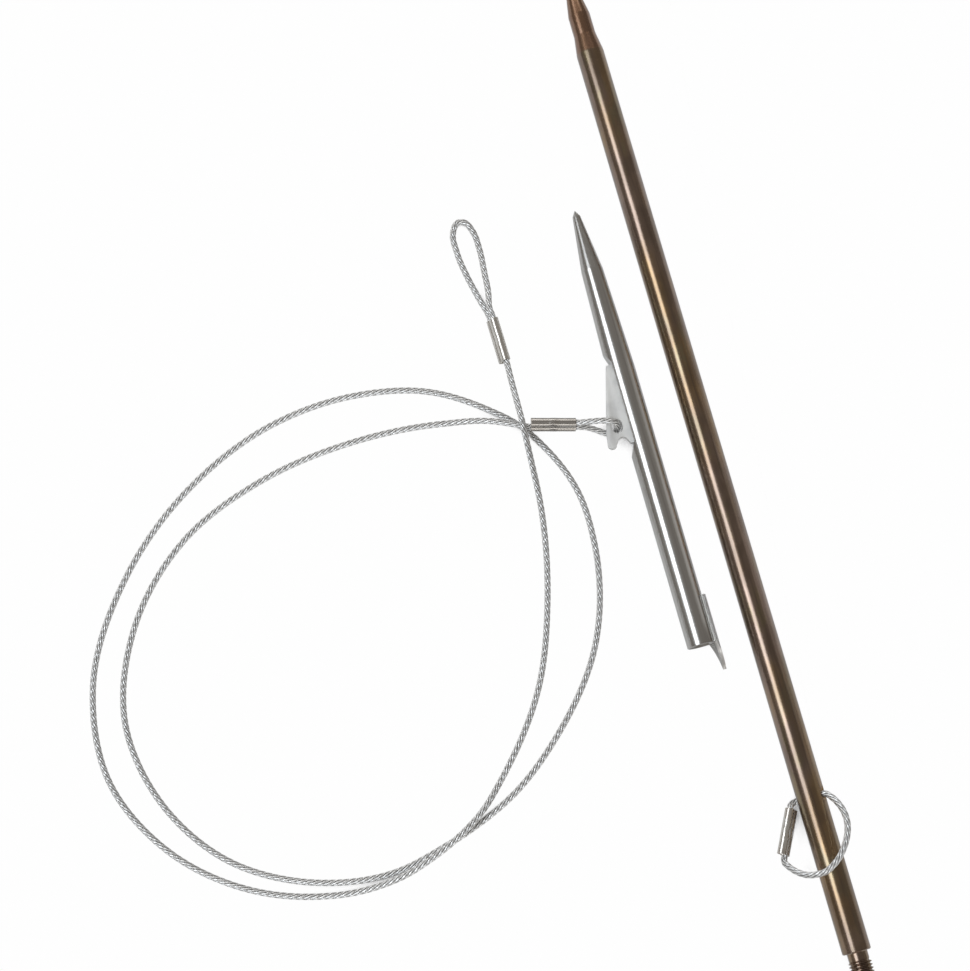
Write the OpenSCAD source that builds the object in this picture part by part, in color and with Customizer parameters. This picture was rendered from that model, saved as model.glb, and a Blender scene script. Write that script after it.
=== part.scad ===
// Front half of a pole spear for spearfishing, laid out on a flat surface as in the photograph.
// Millimetres. Origin: centre of the shaft's rear shoulder, on the shaft's axis.
// +Y runs along the shaft to its nose, +X to the right of the shaft seen from above, +Z up.
// The surface that everything lies on is half a shaft diameter under the origin.

/* [Shaft] */
// diameter of the plain shaft
shaft_d = 8; // [7:0.1:9.5]
// length from the rear shoulder to the start of the nose cone
shaft_len = 265.9; // [200:0.1:400]
// length of the cone that steps the nose down
nose_cone_len = 5.6; // [4:0.1:12]
// diameter of the plain spigot that carries the slip tip
spigot_d = 6.35; // [5.8:0.05:6.8]
// length of the plain spigot
spigot_len = 6.4; // [4:0.1:12]
// length of the long taper in front of the spigot
nose_taper_len = 5; // [3:0.1:8]
// diameter at the front end of the long taper
nose_taper_d = 4.64; // [4:0.02:5.2]
// length of the blunt end in front of the taper
nose_end_len = 3.7; // [2:0.1:6]
// diameter of the flat at the very front
nose_flat_d = 3; // [1.5:0.1:3.6]

/* [Threaded stud] */
// major diameter of the thread
stud_d = 6.35; // [5.5:0.05:6.8]
// pitch of the thread
thread_pitch = 0.907; // [0.8:0.001:1.2]
// number of crests on the stud
thread_crests = 13; // [6:1:18]
// length of the relief neck between shoulder and thread
neck_len = 2.2; // [1:0.1:4]
// depth of the relief neck under the crests of the thread
neck_cut = 0.35; // [0.2:0.01:0.7]

/* [Wire ring] */
// distance from the shoulder to the cross hole for the ring
ring_hole_y = 43.3; // [35:0.1:55]
// tilt of the cross hole, right mouth up
ring_hole_tilt = 25; // [15:1:32]
// diameter of the countersunk mouths on the shaft's surface
ring_mouth_d = 4.4; // [3.8:0.1:5]
// depth of the countersunk mouths
ring_mouth_depth = 1.2; // [0.8:0.1:1.6]

/* [Slip tip] */
// diameter of the slip tip's barrel
tip_d = 8; // [7.6:0.1:9]
// length of the slip tip from its mouth to its point
tip_len = 130; // [115:0.5:160]
// length of the whole tapered front
point_len = 48.5; // [36:0.5:60]
// length of the steeper cone at its front, point included
cone_len = 18.3; // [14:0.1:24]
// diameter where the steeper cone starts
cone_d = 6.2; // [5.6:0.05:6.8]
// length of the short end that is ground to the point
end_len = 1.9; // [1:0.1:3]
// diameter where the ground end starts
end_d = 2.3; // [1.8:0.1:3]
// depth of the socket for the shaft's spigot
socket_depth = 24; // [16:0.5:40]
// widest diameter of the countersink in the socket's mouth
socket_mouth_d = 7.3; // [7.1:0.05:7.5]
// distance from the mouth to the pocket that the tether plate stands in
pocket_from_mouth = 60.2; // [50:0.1:66]
// length of the pocket's flat floor
pocket_len = 23.4; // [22:0.1:26]

/* [Tether plate] */
// thickness of the plate
plate_t = 2; // [1.6:0.05:2.4]
// distance that the plate's widest part stands out from the barrel's axis
plate_reach = 9.55; // [9.2:0.05:10]

/* [Rear barb] */
// length of the barb that lies on the barrel
barb_seat_len = 13.5; // [8:0.5:20]
// length of the barb's free point behind the mouth
barb_point_len = 7.9; // [4:0.1:11]
// width of the barb
barb_w = 5.5; // [4:0.1:6]
// thickness of the barb
barb_t = 1; // [0.7:0.05:1.2]

/* [Cable and sleeves] */
// diameter of the wire rope
cable_d = 1.8; // [1.5:0.05:1.9]
// length of a crimp sleeve
sleeve_len = 12.7; // [11:0.1:13.5]
// wall of a crimp sleeve around and between its bores
sleeve_wall = 0.35; // [0.3:0.01:0.5]
// depth of the crimp across a sleeve's middle
crimp_depth = 0.18; // [0.1:0.01:0.22]

/* [Hidden] */
// smoothness of round surfaces
$fn = 96;
// extra length that a cutting tool runs past a surface
over = 1;

steel_dark = [0.33, 0.29, 0.25];
steel_plain = [0.72, 0.71, 0.69];
steel_matt = [0.78, 0.78, 0.77];
steel_wire = [0.62, 0.61, 0.59];
steel_sleeve = [0.70, 0.68, 0.65];

shaft_r = shaft_d / 2;
tip_r = tip_d / 2;
cable_r = cable_d / 2;
// height of the surface that everything lies on
floor_z = -shaft_r;

// shaft ends
neck_d = stud_d - 2 * neck_cut;
thread_len = thread_crests * thread_pitch;
stud_len = neck_len + thread_len;
shoulder_break = 0.3;
// the thread's depth follows from its pitch, its flanks lean 30 degrees, and its crests and roots are flat
thread_depth = 0.6 * thread_pitch;
flank_len = thread_depth * tan(30);
crest_flat = thread_pitch / 5;
spigot_y = shaft_len + nose_cone_len;
taper_y = spigot_y + spigot_len;
nose_end_y = taper_y + nose_taper_len;
nose_y = nose_end_y + nose_end_len;
nose_round = 0.5;

// fits
ring_hole_clear = 0.4;
ring_hole_d = cable_d + 2 * ring_hole_clear;
socket_clear = 0.075;
socket_d = spigot_d + 2 * socket_clear;
cable_clear = 0.05;
braze_gap = 0.02;

// slip tip: where it lies beside the shaft, and its pocket
tip_beside = 17.2;
tip_mouth_y = 91.3;
tip_z = floor_z + tip_r;
socket_mouth_len = 1;
drill_point_len = 2;
mouth_break = 0.2;
pocket_floor = 2.3;
pocket_ramp = 3.8;
slot_floor = 0.3;

// tether plate, measured from the barrel's axis and from the rear end of the pocket
plate_end_gap = 0.1;
plate_front_out = 3.9;
plate_corner_out = 4.5;
plate_corner_len = 2.1;
plate_edge_y = 4.6;
plate_edge_in = 0.5;
lobe_r = 1.25;
lobe_y = 1;
notch_r = 2.1;
notch_out = 5.25;
notch_y = -0.35;
// the notch is a round arch with a smaller one as its crown
crown_r = 1.45;
crown_out = 5.15;
crown_y = 0.9;
hole_from_edge = 3.95;
hole_y = 5.7;
hole_clear = 0.6;
hole_w = cable_d + 2 * hole_clear;
hole_extra = 1;
hole_out = plate_reach - hole_from_edge;

// rear barb: its middle sits a little under the barrel's side
barb_roll = 8.5;

// sleeves: two bores side by side
bore_d = cable_d + 2 * cable_clear;
bore_pitch = bore_d + sleeve_wall;
barrel_d = bore_d + 2 * sleeve_wall;
crimp_tool_d = 9;
web_w = 1.9;
// straight cable outside a sleeve's mouth, and how far inside the mouth a cable's end stops
mouth_lead = 0.5;
tail_back = 1;

// the lanyard lies around the hole in the tether plate: places are from that hole's centre
lay_x = -tip_beside - hole_out;
lay_y = tip_mouth_y + pocket_from_mouth + hole_y;
floor_gap = 0.05;
rest_z = floor_z + floor_gap + cable_r;
// one strand crosses another one level up
level = bore_pitch;

// a sleeve's place: right, forward, height, heading of its bores and roll about them
tip_sleeve_at = [lay_x - 17.2, lay_y + 5.3, rest_z + 1.5 * level, 164.5, 20];
eye_sleeve_at = [lay_x - 25.5, lay_y + 33.4, rest_z + 0.65 * level, 91, 20];

// the short loop through the plate: right and forward of the hole, height from the plate's mid-plane
toggle_route = [[-8.2, 3.3, 1.8], [-5.7, 2.8, 2.2], [-3.2, 2.2, 2.4], [-1.2, 1.5, 2.4], [-0.1, 0.9, 1.8],
    [0.1, 0.1, 0.5], [-0.1, -0.6, -0.9], [-0.8, -1, -2], [-2.7, -0.7, -2.6], [-5.7, 1.1, -2.2],
    [-8.2, 2.4, -1.3]];

// the two big turns: right and forward of the hole, height in strand levels over the surface
coil_route = [[-26.5, 8, 1], [-34.5, 11.5, 0.8], [-47.5, 14.5, 0.1], [-74.5, 16, 0], [-101, 12, 0],
    [-125.5, 1.5, 0], [-144.5, -18, 0], [-154, -45, 0], [-149.5, -68.5, 0], [-136, -88, 0],
    [-113.5, -100.5, 0], [-91.5, -103.3, 0], [-78.5, -100.5, 0], [-67.5, -97, 0], [-55.5, -91.5, 0],
    [-40, -79.5, 0], [-22.5, -57.5, 0], [-15, -30.5, 0], [-15.5, -14, 0], [-22, 2, 0], [-26, 8, 0],
    [-33.5, 15, 0], [-48.5, 24.5, 0], [-69.5, 29, 0], [-93.5, 27, 0], [-120.5, 15.5, 0],
    [-143.5, -4, 0], [-160, -31.5, 0], [-162, -59, 0], [-150.5, -82, 0], [-130, -98.5, 0],
    [-115, -104, 0], [-104, -105.8, 0], [-96.5, -105.8, 0.3], [-90, -105, 0.7],
    [-82.5, -102.8, 1], [-74.5, -99.5, 1.1], [-66, -94.5, 0.9], [-57.5, -86.5, 0],
    [-41, -65, 0], [-32, -42, 0], [-26.5, -14.5, 0.1],
    [-25.8, 0, 1.3], [-25.5, 8.5, 2.2], [-25.2, 21, 1.4]];

// the end loop in front of its sleeve, in the same measures
eye_route = [[-25.5, 42.5, 1.1], [-24.5, 48, 0.7], [-24, 54, 0.3], [-23.5, 61, 0], [-24, 67, 0],
    [-25.5, 70, 0], [-27.5, 70.5, 0], [-29.5, 68, 0], [-30, 62, 0], [-29, 54, 0], [-27.5, 47, 0.1]];

// the wire ring, in a frame on the cross hole: along the hole, towards the stud, off the ring's plane
// the first number says which side of the shaft the second is measured from
ring_route = [[-1, -7.4, 15.2, -0.3], [-1, -6.2, 17.2, -0.1], [-1, -4.3, 19.1, 0], [-1, -1.9, 20.6, 0],
    [0, -2.6, 21.3, 0], [0, 0, 21.1, 0], [0, 2.1, 20.1, 0], [1, 0.6, 18.1, 0], [1, 2.6, 15.5, 0],
    [1, 4.1, 12.3, 0], [1, 4.6, 9.6, 0], [1, 4.3, 6.5, 0], [1, 3.2, 3.7, 0], [1, 1.6, 1.4, 0],
    [1, 0.3, 0.2, 0], [1, -1, 0, 0], [-1, 1, 0, 0], [-1, -0.3, 0, 0.1], [-1, -1.2, 0.4, 0.7],
    [-1, -1.7, 1, 1.4]];
ring_sleeve_at = [-shaft_r - 4.45, -7.85, 0.7, 247, 0];
// the ring leans back until its far end is just clear of the shaft's top
ring_reach = 21.3;
ring_rest_gap = 0.65;
ring_lean = asin((shaft_r + cable_r + ring_rest_gap) / ring_reach);

// how finely the cable's spans are split, and how many sides it has
toggle_step = 4;
coil_step = 25;
eye_step = 9;
ring_step = 3;
cable_sides = 8;

// shared helpers
// centre of a sleeve's bore, side 1 for the upper and -1 for the lower, some way along it
function bore_point(at, side, along) =
    let (k = side * bore_pitch / 2)
    [at[0] + along * cos(at[3]) + k * sin(at[4]) * sin(at[3]),
     at[1] + along * sin(at[3]) - k * sin(at[4]) * cos(at[3]),
     at[2] + k * cos(at[4])];

// direction of a sleeve's bores, with sign 1 or -1
function bore_way(at, sign) = [sign * cos(at[3]), sign * sin(at[3]), 0];

function unit(v) = v / norm(v);

// slope of the height at a point, which never overshoots its neighbours
function level_slope(m1, m2) = m1 * m2 <= 0 ? 0 : 2 * m1 * m2 / (m1 + m2);

// direction of the smooth curve at an inner point
function way_at(p, i) =
    let (a = norm(p[i] - p[i - 1]), b = norm(p[i + 1] - p[i]),
         w = ((p[i + 1] - p[i]) / b * a + (p[i] - p[i - 1]) / a * b) / (a + b))
    [w[0], w[1], level_slope((p[i][2] - p[i - 1][2]) / a, (p[i + 1][2] - p[i][2]) / b)];

// point on the smooth curve between two route points
function curve(p0, w0, p1, w1, s) =
    let (span = norm(p1 - p0))
    (2 * pow(s, 3) - 3 * s * s + 1) * p0 + (pow(s, 3) - 2 * s * s + s) * span * w0
    + (3 * s * s - 2 * pow(s, 3)) * p1 + (pow(s, 3) - s * s) * span * w1;

// smooth stretch of cable through route points, with its first and last directions given
function stretch(p, w0, w1, step) =
    let (last = len(p) - 1, ways = [for (i = [0:last]) i == 0 ? w0 : i == last ? w1 : way_at(p, i)])
    concat([for (i = [0:last - 1])
        let (cuts = max(1, ceil(norm(p[i + 1] - p[i]) / step)))
        for (j = [0:cuts - 1]) curve(p[i], ways[i], p[i + 1], ways[i + 1], j / cuts)], [p[last]]);

// direction of the tube at each of its rings
function tube_way(p, i) =
    let (last = len(p) - 1)
    i == 0 ? unit(p[1] - p[0])
    : i == last ? unit(p[last] - p[last - 1])
    : unit(unit(p[i] - p[i - 1]) + unit(p[i + 1] - p[i]));

// the sideways direction carried from ring to ring without twist
function carried(n, w) = unit(n - (n * w) * w);

function tube_sides(p) =
    let (n0 = carried([0.1, 0.2, 1], tube_way(p, 0)))
    [for (i = 0, n = n0; i < len(p);
        i = i + 1, n = i < len(p) ? carried(n, tube_way(p, i)) : n) n];

// round tube along a list of centres
module tube(p, r) {
    sides = tube_sides(p);
    rings = len(p);
    verts = [for (i = [0:rings - 1])
        let (w = tube_way(p, i), n = sides[i], b = cross(w, n))
        for (k = [0:cable_sides - 1])
            p[i] + r * (cos(k * 360 / cable_sides) * n + sin(k * 360 / cable_sides) * b)];
    skin = [for (i = [0:rings - 2], k = [0:cable_sides - 1])
        let (a = i * cable_sides + k, b = i * cable_sides + (k + 1) % cable_sides)
        each [[a, a + cable_sides, b], [b, a + cable_sides, b + cable_sides]]];
    tail = [for (k = [1:cable_sides - 2]) [0, k, k + 1]];
    base = (rings - 1) * cable_sides;
    head = [for (k = [1:cable_sides - 2]) [base, base + k + 1, base + k]];
    polyhedron(points = verts, faces = concat(skin, tail, head), convexity = 10);
}

// crimp sleeve of two joined barrels, its bores along X and stacked along Z
module sleeve_body() {
    difference() {
        union() {
            for (side = [-1, 1])
                translate([-sleeve_len / 2, 0, side * bore_pitch / 2])
                    rotate([0, 90, 0])
                        cylinder(h = sleeve_len, d = barrel_d);
            translate([-sleeve_len / 2, -web_w / 2, -bore_pitch / 2])
                cube([sleeve_len, web_w, bore_pitch]);
        }
        for (side = [-1, 1])
            translate([-sleeve_len / 2 - over, 0, side * bore_pitch / 2])
                rotate([0, 90, 0])
                    cylinder(h = sleeve_len + 2 * over, d = bore_d);
        for (side = [-1, 1])
            translate([0, side * (barrel_d / 2 + crimp_tool_d / 2 - crimp_depth), 0])
                cylinder(h = 2 * (barrel_d + bore_pitch), d = crimp_tool_d, center = true);
    }
}

module sleeve_placed(at) {
    translate([at[0], at[1], at[2]])
        rotate([0, 0, at[3]])
            rotate([at[4], 0, 0])
                sleeve_body();
}

// frame of the wire ring: X along the cross hole, Y to the nose, Z off the ring's plane
module ring_frame() {
    translate([0, ring_hole_y, 0])
        rotate([0, -ring_hole_tilt, 0])
            rotate([-ring_lean, 0, 0])
                children();
}

// frame of the slip tip: Z from its mouth to its point
module tip_frame() {
    translate([-tip_beside, tip_mouth_y, tip_z])
        rotate([-90, 0, 0])
            children();
}

// cable centre lines
function lay_level(p) = [lay_x + p[0], lay_y + p[1], rest_z + p[2] * level];
function lay_plate(p) = [lay_x + p[0], lay_y + p[1], tip_z + p[2]];
function ring_point(p) = [p[0] * shaft_r + p[1], -p[2], p[3]];

// how far from a sleeve's middle its cable starts to bend
half = sleeve_len / 2 + mouth_lead;
toggle_line = stretch(
    concat([bore_point(tip_sleeve_at, 1, -half)], [for (p = toggle_route) lay_plate(p)],
        [bore_point(tip_sleeve_at, -1, -half)]),
    bore_way(tip_sleeve_at, -1), bore_way(tip_sleeve_at, 1), toggle_step);
coil_line = stretch(
    concat([bore_point(tip_sleeve_at, -1, half)], [for (p = coil_route) lay_level(p)],
        [bore_point(eye_sleeve_at, 1, -half)]),
    bore_way(tip_sleeve_at, 1), bore_way(eye_sleeve_at, 1), coil_step);
eye_line = stretch(
    concat([bore_point(eye_sleeve_at, 1, half)], [for (p = eye_route) lay_level(p)],
        [bore_point(eye_sleeve_at, -1, half)]),
    bore_way(eye_sleeve_at, 1), bore_way(eye_sleeve_at, -1), eye_step);
lanyard_line = concat([bore_point(tip_sleeve_at, 1, half - mouth_lead - tail_back)], toggle_line, coil_line,
    eye_line, [bore_point(eye_sleeve_at, -1, tail_back + mouth_lead - half)]);
ring_line = concat([bore_point(ring_sleeve_at, -1, tail_back + mouth_lead - half)],
    stretch(
        concat([bore_point(ring_sleeve_at, -1, half)], [for (p = ring_route) ring_point(p)],
            [bore_point(ring_sleeve_at, 1, -half)]),
        bore_way(ring_sleeve_at, 1), bore_way(ring_sleeve_at, 1), ring_step),
    [bore_point(ring_sleeve_at, 1, half - mouth_lead - tail_back)]);

// least gap of a cable to itself, measured between points along it that are far apart by length
function line_length(p, i = 0, sum = 0) =
    i >= len(p) - 1 ? sum : line_length(p, i + 1, sum + norm(p[i + 1] - p[i]));
function dense(p, cuts) = concat([for (i = [0:len(p) - 2], j = [0:cuts - 1])
    p[i] + (p[i + 1] - p[i]) * j / cuts], [p[len(p) - 1]]);
function gap_from(q, i, apart) = min([for (j = [i + apart:len(q) - 1]) norm(q[j] - q[i])]);
function least_gap(p, cuts, apart) =
    let (q = dense(p, cuts))
    min([for (i = [0:len(q) - 1 - apart]) gap_from(q, i, apart)]) - cable_d;
echo(lanyard_rings = len(lanyard_line), lanyard_length = line_length(lanyard_line),
    lanyard_gap = least_gap(lanyard_line, 6, 30));
echo(ring_rings = len(ring_line), ring_length = line_length(ring_line),
    ring_gap = least_gap(ring_line, 2, 14));

// shaft with its stud, cross hole and stepped nose
module shaft() {
    stud_start = -stud_len;
    core_r = stud_d / 2 - thread_depth;
    thread = [for (i = [0:thread_crests - 1])
        let (y = stud_start + i * thread_pitch)
        each [[core_r, y], [stud_d / 2, y + flank_len], [stud_d / 2, y + flank_len + crest_flat],
            [core_r, y + 2 * flank_len + crest_flat]]];
    body = [[neck_d / 2, -neck_len], [neck_d / 2, 0], [shaft_r - shoulder_break, 0],
        [shaft_r, shoulder_break], [shaft_r, shaft_len], [spigot_d / 2, spigot_y],
        [spigot_d / 2, taper_y], [nose_taper_d / 2, nose_end_y],
        [nose_flat_d / 2 + nose_round / 2, nose_y - nose_round],
        [nose_flat_d / 2, nose_y], [0, nose_y]];
    color(steel_dark)
        difference() {
            rotate([-90, 0, 0])
                rotate_extrude()
                    polygon(concat([[0, stud_start]], thread, body));
            translate([0, ring_hole_y, 0])
                rotate([0, 90 - ring_hole_tilt, 0])
                    union() {
                        cylinder(h = 2 * (shaft_r + over), d = ring_hole_d, center = true);
                        for (turn = [0, 180])
                            rotate([turn, 0, 0])
                                ring_mouth();
                    }
        }
}

// cutter for one countersunk mouth of the cross hole
module ring_mouth() {
    grow = (ring_mouth_d - ring_hole_d) / 2 / ring_mouth_depth;
    translate([0, 0, shaft_r - ring_mouth_depth])
        cylinder(h = ring_mouth_depth + over, d1 = ring_hole_d, d2 = ring_mouth_d + 2 * grow * over);
}

// slip tip
module tip_barrel() {
    color(steel_plain)
        difference() {
            tip_frame()
                difference() {
                    rotate_extrude()
                        polygon([[0, 0], [tip_r - mouth_break, 0], [tip_r, mouth_break],
                            [tip_r, tip_len - point_len], [cone_d / 2, tip_len - cone_len],
                            [end_d / 2, tip_len - end_len], [0, tip_len]]);
                    socket();
                }
            translate([-tip_beside, tip_mouth_y + pocket_from_mouth, tip_z])
                pocket();
        }
}

// cutter for the socket, its countersunk mouth and the drill's point
module socket() {
    translate([0, 0, -over])
        cylinder(h = socket_depth + over, d = socket_d);
    translate([0, 0, -over])
        cylinder(h = over, d = socket_mouth_d);
    cylinder(h = socket_mouth_len, d1 = socket_mouth_d, d2 = socket_d);
    translate([0, 0, socket_depth])
        cylinder(h = drill_point_len, d1 = socket_d, d2 = 0);
}

// cutter for the pocket on the left and the slot in its floor, from the pocket's rear end
module pocket() {
    deep = tip_r - pocket_floor;
    ramp = pocket_ramp * (deep + over) / deep;
    translate([0, 0, -tip_r - over])
        linear_extrude(height = 2 * (tip_r + over))
            polygon([[-pocket_floor, 0], [-pocket_floor, pocket_len], [-tip_r - over, pocket_len + ramp],
                [-tip_r - over, -ramp]]);
    translate([-pocket_floor - over, 0, -plate_t / 2 - braze_gap])
        cube([pocket_floor + over - slot_floor, pocket_len, plate_t + 2 * braze_gap]);
}

// tether plate that stands in the pocket, with the lanyard's hole and the rear notch
module tether_plate() {
    front = pocket_len - plate_end_gap;
    color(steel_matt)
        translate([-tip_beside, tip_mouth_y + pocket_from_mouth, tip_z - plate_t / 2])
            linear_extrude(height = plate_t)
                difference() {
                    union() {
                        polygon([[-slot_floor, plate_end_gap], [-slot_floor, front],
                            [-plate_front_out, front], [-plate_corner_out, front - plate_corner_len],
                            [plate_edge_in - plate_reach, plate_edge_y], [-plate_reach, lobe_y],
                            [lobe_r - plate_reach, plate_end_gap]]);
                        translate([lobe_r - plate_reach, lobe_y])
                            circle(r = lobe_r);
                    }
                    translate([-notch_out, notch_y])
                        circle(r = notch_r);
                    translate([-crown_out, crown_y])
                        circle(r = crown_r);
                    for (end = [-1, 1])
                        translate([-hole_out, hole_y + end * hole_extra / 2])
                            circle(d = hole_w);
                    translate([-hole_out - hole_w / 2, hole_y - hole_extra / 2])
                        square([hole_w, hole_extra]);
                }
}

// rear barb: a curved strip on the barrel's right that runs to a point behind the mouth
module rear_barb() {
    color(steel_plain)
        tip_frame()
            rotate([0, 0, barb_roll])
                intersection() {
                    difference() {
                        translate([0, 0, -barb_point_len])
                            cylinder(h = barb_point_len + barb_seat_len, r = tip_r + braze_gap + barb_t);
                        translate([0, 0, -barb_point_len - over])
                            cylinder(h = barb_point_len + barb_seat_len + 2 * over, r = tip_r + braze_gap);
                    }
                    rotate([90, 0, 90])
                        linear_extrude(height = tip_d)
                            polygon([[-barb_w / 2, barb_seat_len], [-barb_w / 2, 0], [0, -barb_point_len],
                                [barb_w / 2, 0], [barb_w / 2, barb_seat_len]]);
                }
}

// cables and sleeves
module lanyard_cable() {
    color(steel_wire)
        tube(lanyard_line, cable_r);
}

module tip_sleeve() {
    color(steel_sleeve)
        sleeve_placed(tip_sleeve_at);
}

module eye_sleeve() {
    color(steel_sleeve)
        sleeve_placed(eye_sleeve_at);
}

module ring_cable() {
    color(steel_wire)
        ring_frame()
            tube(ring_line, cable_r);
}

module ring_sleeve() {
    color(steel_sleeve)
        ring_frame()
            sleeve_placed(ring_sleeve_at);
}

shaft();
tip_barrel();
tether_plate();
rear_barb();
lanyard_cable();
tip_sleeve();
eye_sleeve();
ring_cable();
ring_sleeve();
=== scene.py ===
import math

import bmesh
import bpy
from mathutils import Matrix, Vector


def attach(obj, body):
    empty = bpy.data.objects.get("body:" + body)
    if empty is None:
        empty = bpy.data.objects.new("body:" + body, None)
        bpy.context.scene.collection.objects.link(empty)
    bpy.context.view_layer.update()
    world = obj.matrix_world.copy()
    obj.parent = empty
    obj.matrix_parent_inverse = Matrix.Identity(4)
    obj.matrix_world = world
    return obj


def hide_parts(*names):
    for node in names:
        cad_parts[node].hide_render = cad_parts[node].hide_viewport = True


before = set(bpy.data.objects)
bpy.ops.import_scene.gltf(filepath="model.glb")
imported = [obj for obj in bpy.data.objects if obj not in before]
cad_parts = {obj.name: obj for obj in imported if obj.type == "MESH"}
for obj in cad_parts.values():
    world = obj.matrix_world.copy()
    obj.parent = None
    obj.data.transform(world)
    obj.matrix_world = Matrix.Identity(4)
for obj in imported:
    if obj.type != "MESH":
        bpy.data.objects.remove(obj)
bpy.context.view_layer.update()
mm = 0.001


# Sizes, the same as the part's source, in metres

shaft_radius = 4.0 * mm
floor_height = -shaft_radius
cone_start = 265.9 * mm
spigot_radius = 3.175 * mm
spigot_start = 271.5 * mm
spigot_end = 277.9 * mm
taper_end = 282.9 * mm
taper_end_radius = 2.32 * mm
nose_end = 286.6 * mm
nose_flat_radius = 1.5 * mm
nose_round = 0.5 * mm

stud_radius = 3.175 * mm
thread_pitch = 0.907 * mm
thread_turns = 13
thread_depth = 0.6 * thread_pitch
neck_length = 2.2 * mm
neck_radius = 2.825 * mm
stud_end = -neck_length - thread_turns * thread_pitch

ring_hole_at = 43.3 * mm
ring_hole_tilt = math.radians(25)
ring_hole_radius = 1.3 * mm
ring_mouth_radius = 2.2 * mm
ring_mouth_depth = 1.2 * mm

tip_beside = 17.2 * mm
tip_mouth = 91.3 * mm
tip_radius = 4.0 * mm
tip_length = 130.0 * mm
tip_point_length = 48.5 * mm
tip_cone_length = 18.3 * mm
tip_cone_radius = 3.1 * mm
tip_end_length = 1.9 * mm
tip_end_radius = 1.15 * mm
socket_radius = 3.25 * mm
socket_depth = 24.0 * mm
socket_mouth_radius = 3.65 * mm
pocket_start = 60.2 * mm
pocket_length = 23.4 * mm
pocket_floor = 2.3 * mm
pocket_ramp = 3.8 * mm
slot_floor = 0.3 * mm
slot_clearance = 0.14 * mm

plate_thickness = 2.0 * mm
plate_reach = 9.55 * mm
plate_hole_out = 5.6 * mm
plate_hole_along = 5.7 * mm
plate_hole_radius = 1.5 * mm
plate_hole_extra = 1.0 * mm
notch_radius = 2.1 * mm
notch_centre = (-5.25 * mm, -0.35 * mm)
crown_radius = 1.45 * mm
crown_centre = (-5.15 * mm, 0.9 * mm)

barb_seat = 13.5 * mm
barb_point = 7.9 * mm
barb_half_width = 2.75 * mm
barb_thickness = 1.0 * mm
barb_roll = math.radians(8.5)
braze_gap = 0.02 * mm

rope_diameter = 1.8 * mm
rope_radius = rope_diameter / 2
sleeve_length = 12.7 * mm
sleeve_wall = 0.35 * mm
bore_radius = 0.95 * mm
bore_pitch = 2 * bore_radius + sleeve_wall
barrel_radius = bore_radius + sleeve_wall
web_half_width = 0.95 * mm
crimp_depth = 0.18 * mm
crimp_tool_radius = 4.5 * mm
mouth_lead = 0.5 * mm
tail_back = 1.0 * mm
# from a sleeve's middle: where the rope's bend starts outside its mouth and where a cut end lies inside
rope_leaves = sleeve_length / 2 + mouth_lead
rope_ends = sleeve_length / 2 - tail_back

cutter_over = 1.0 * mm


# Camera


def place_camera():
    """At the photograph's viewing angle; its stand, aim, tilt and lens are fitted to the picture."""
    stand = Vector((-0.09924, 0.01905, 0.7028))
    aim = Vector((-0.06294, 0.15155, -0.004))
    right = Vector((0.9645, -0.2642, 0)).normalized()
    back = (stand - aim).normalized()
    up = back.cross(right).normalized()
    right = up.cross(back).normalized()
    data = bpy.data.cameras.new("camera")
    data.sensor_width = 36
    data.lens = 94.62
    data.clip_start = 0.01
    data.clip_end = 20
    camera = bpy.data.objects.new("camera", data)
    bpy.context.scene.collection.objects.link(camera)
    turn = Matrix((right, up, back)).transposed().to_4x4()
    camera.matrix_world = Matrix.Translation(stand) @ turn
    bpy.context.scene.camera = camera


place_camera()


# Wire rope: centre lines, as in the part's source

# strands that cross lie a level apart
level = bore_pitch
rest_height = floor_height + 0.05 * mm + rope_radius
lay_x = -tip_beside - plate_hole_out
lay_y = tip_mouth + pocket_start + plate_hole_along

# a sleeve's place: right, forward, height, heading of its bores and roll about them
tip_sleeve_at = (lay_x - 0.0172, lay_y + 0.0053, rest_height + 1.5 * level, 164.5, 20)
eye_sleeve_at = (lay_x - 0.0255, lay_y + 0.0334, rest_height + 0.65 * level, 91, 20)
ring_sleeve_at = (-shaft_radius - 0.00445, -0.00785, 0.0007, 247, 0)

# the short loop through the plate: right and forward of its hole, height from the plate's middle
toggle_route = [
    (-0.0082, 0.0033, 0.0018), (-0.0057, 0.0028, 0.0022), (-0.0032, 0.0022, 0.0024),
    (-0.0012, 0.0015, 0.0024), (-0.0001, 0.0009, 0.0018), (0.0001, 0.0001, 0.0005),
    (-0.0001, -0.0006, -0.0009), (-0.0008, -0.001, -0.002), (-0.0027, -0.0007, -0.0026),
    (-0.0057, 0.0011, -0.0022), (-0.0082, 0.0024, -0.0013),
]

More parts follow.
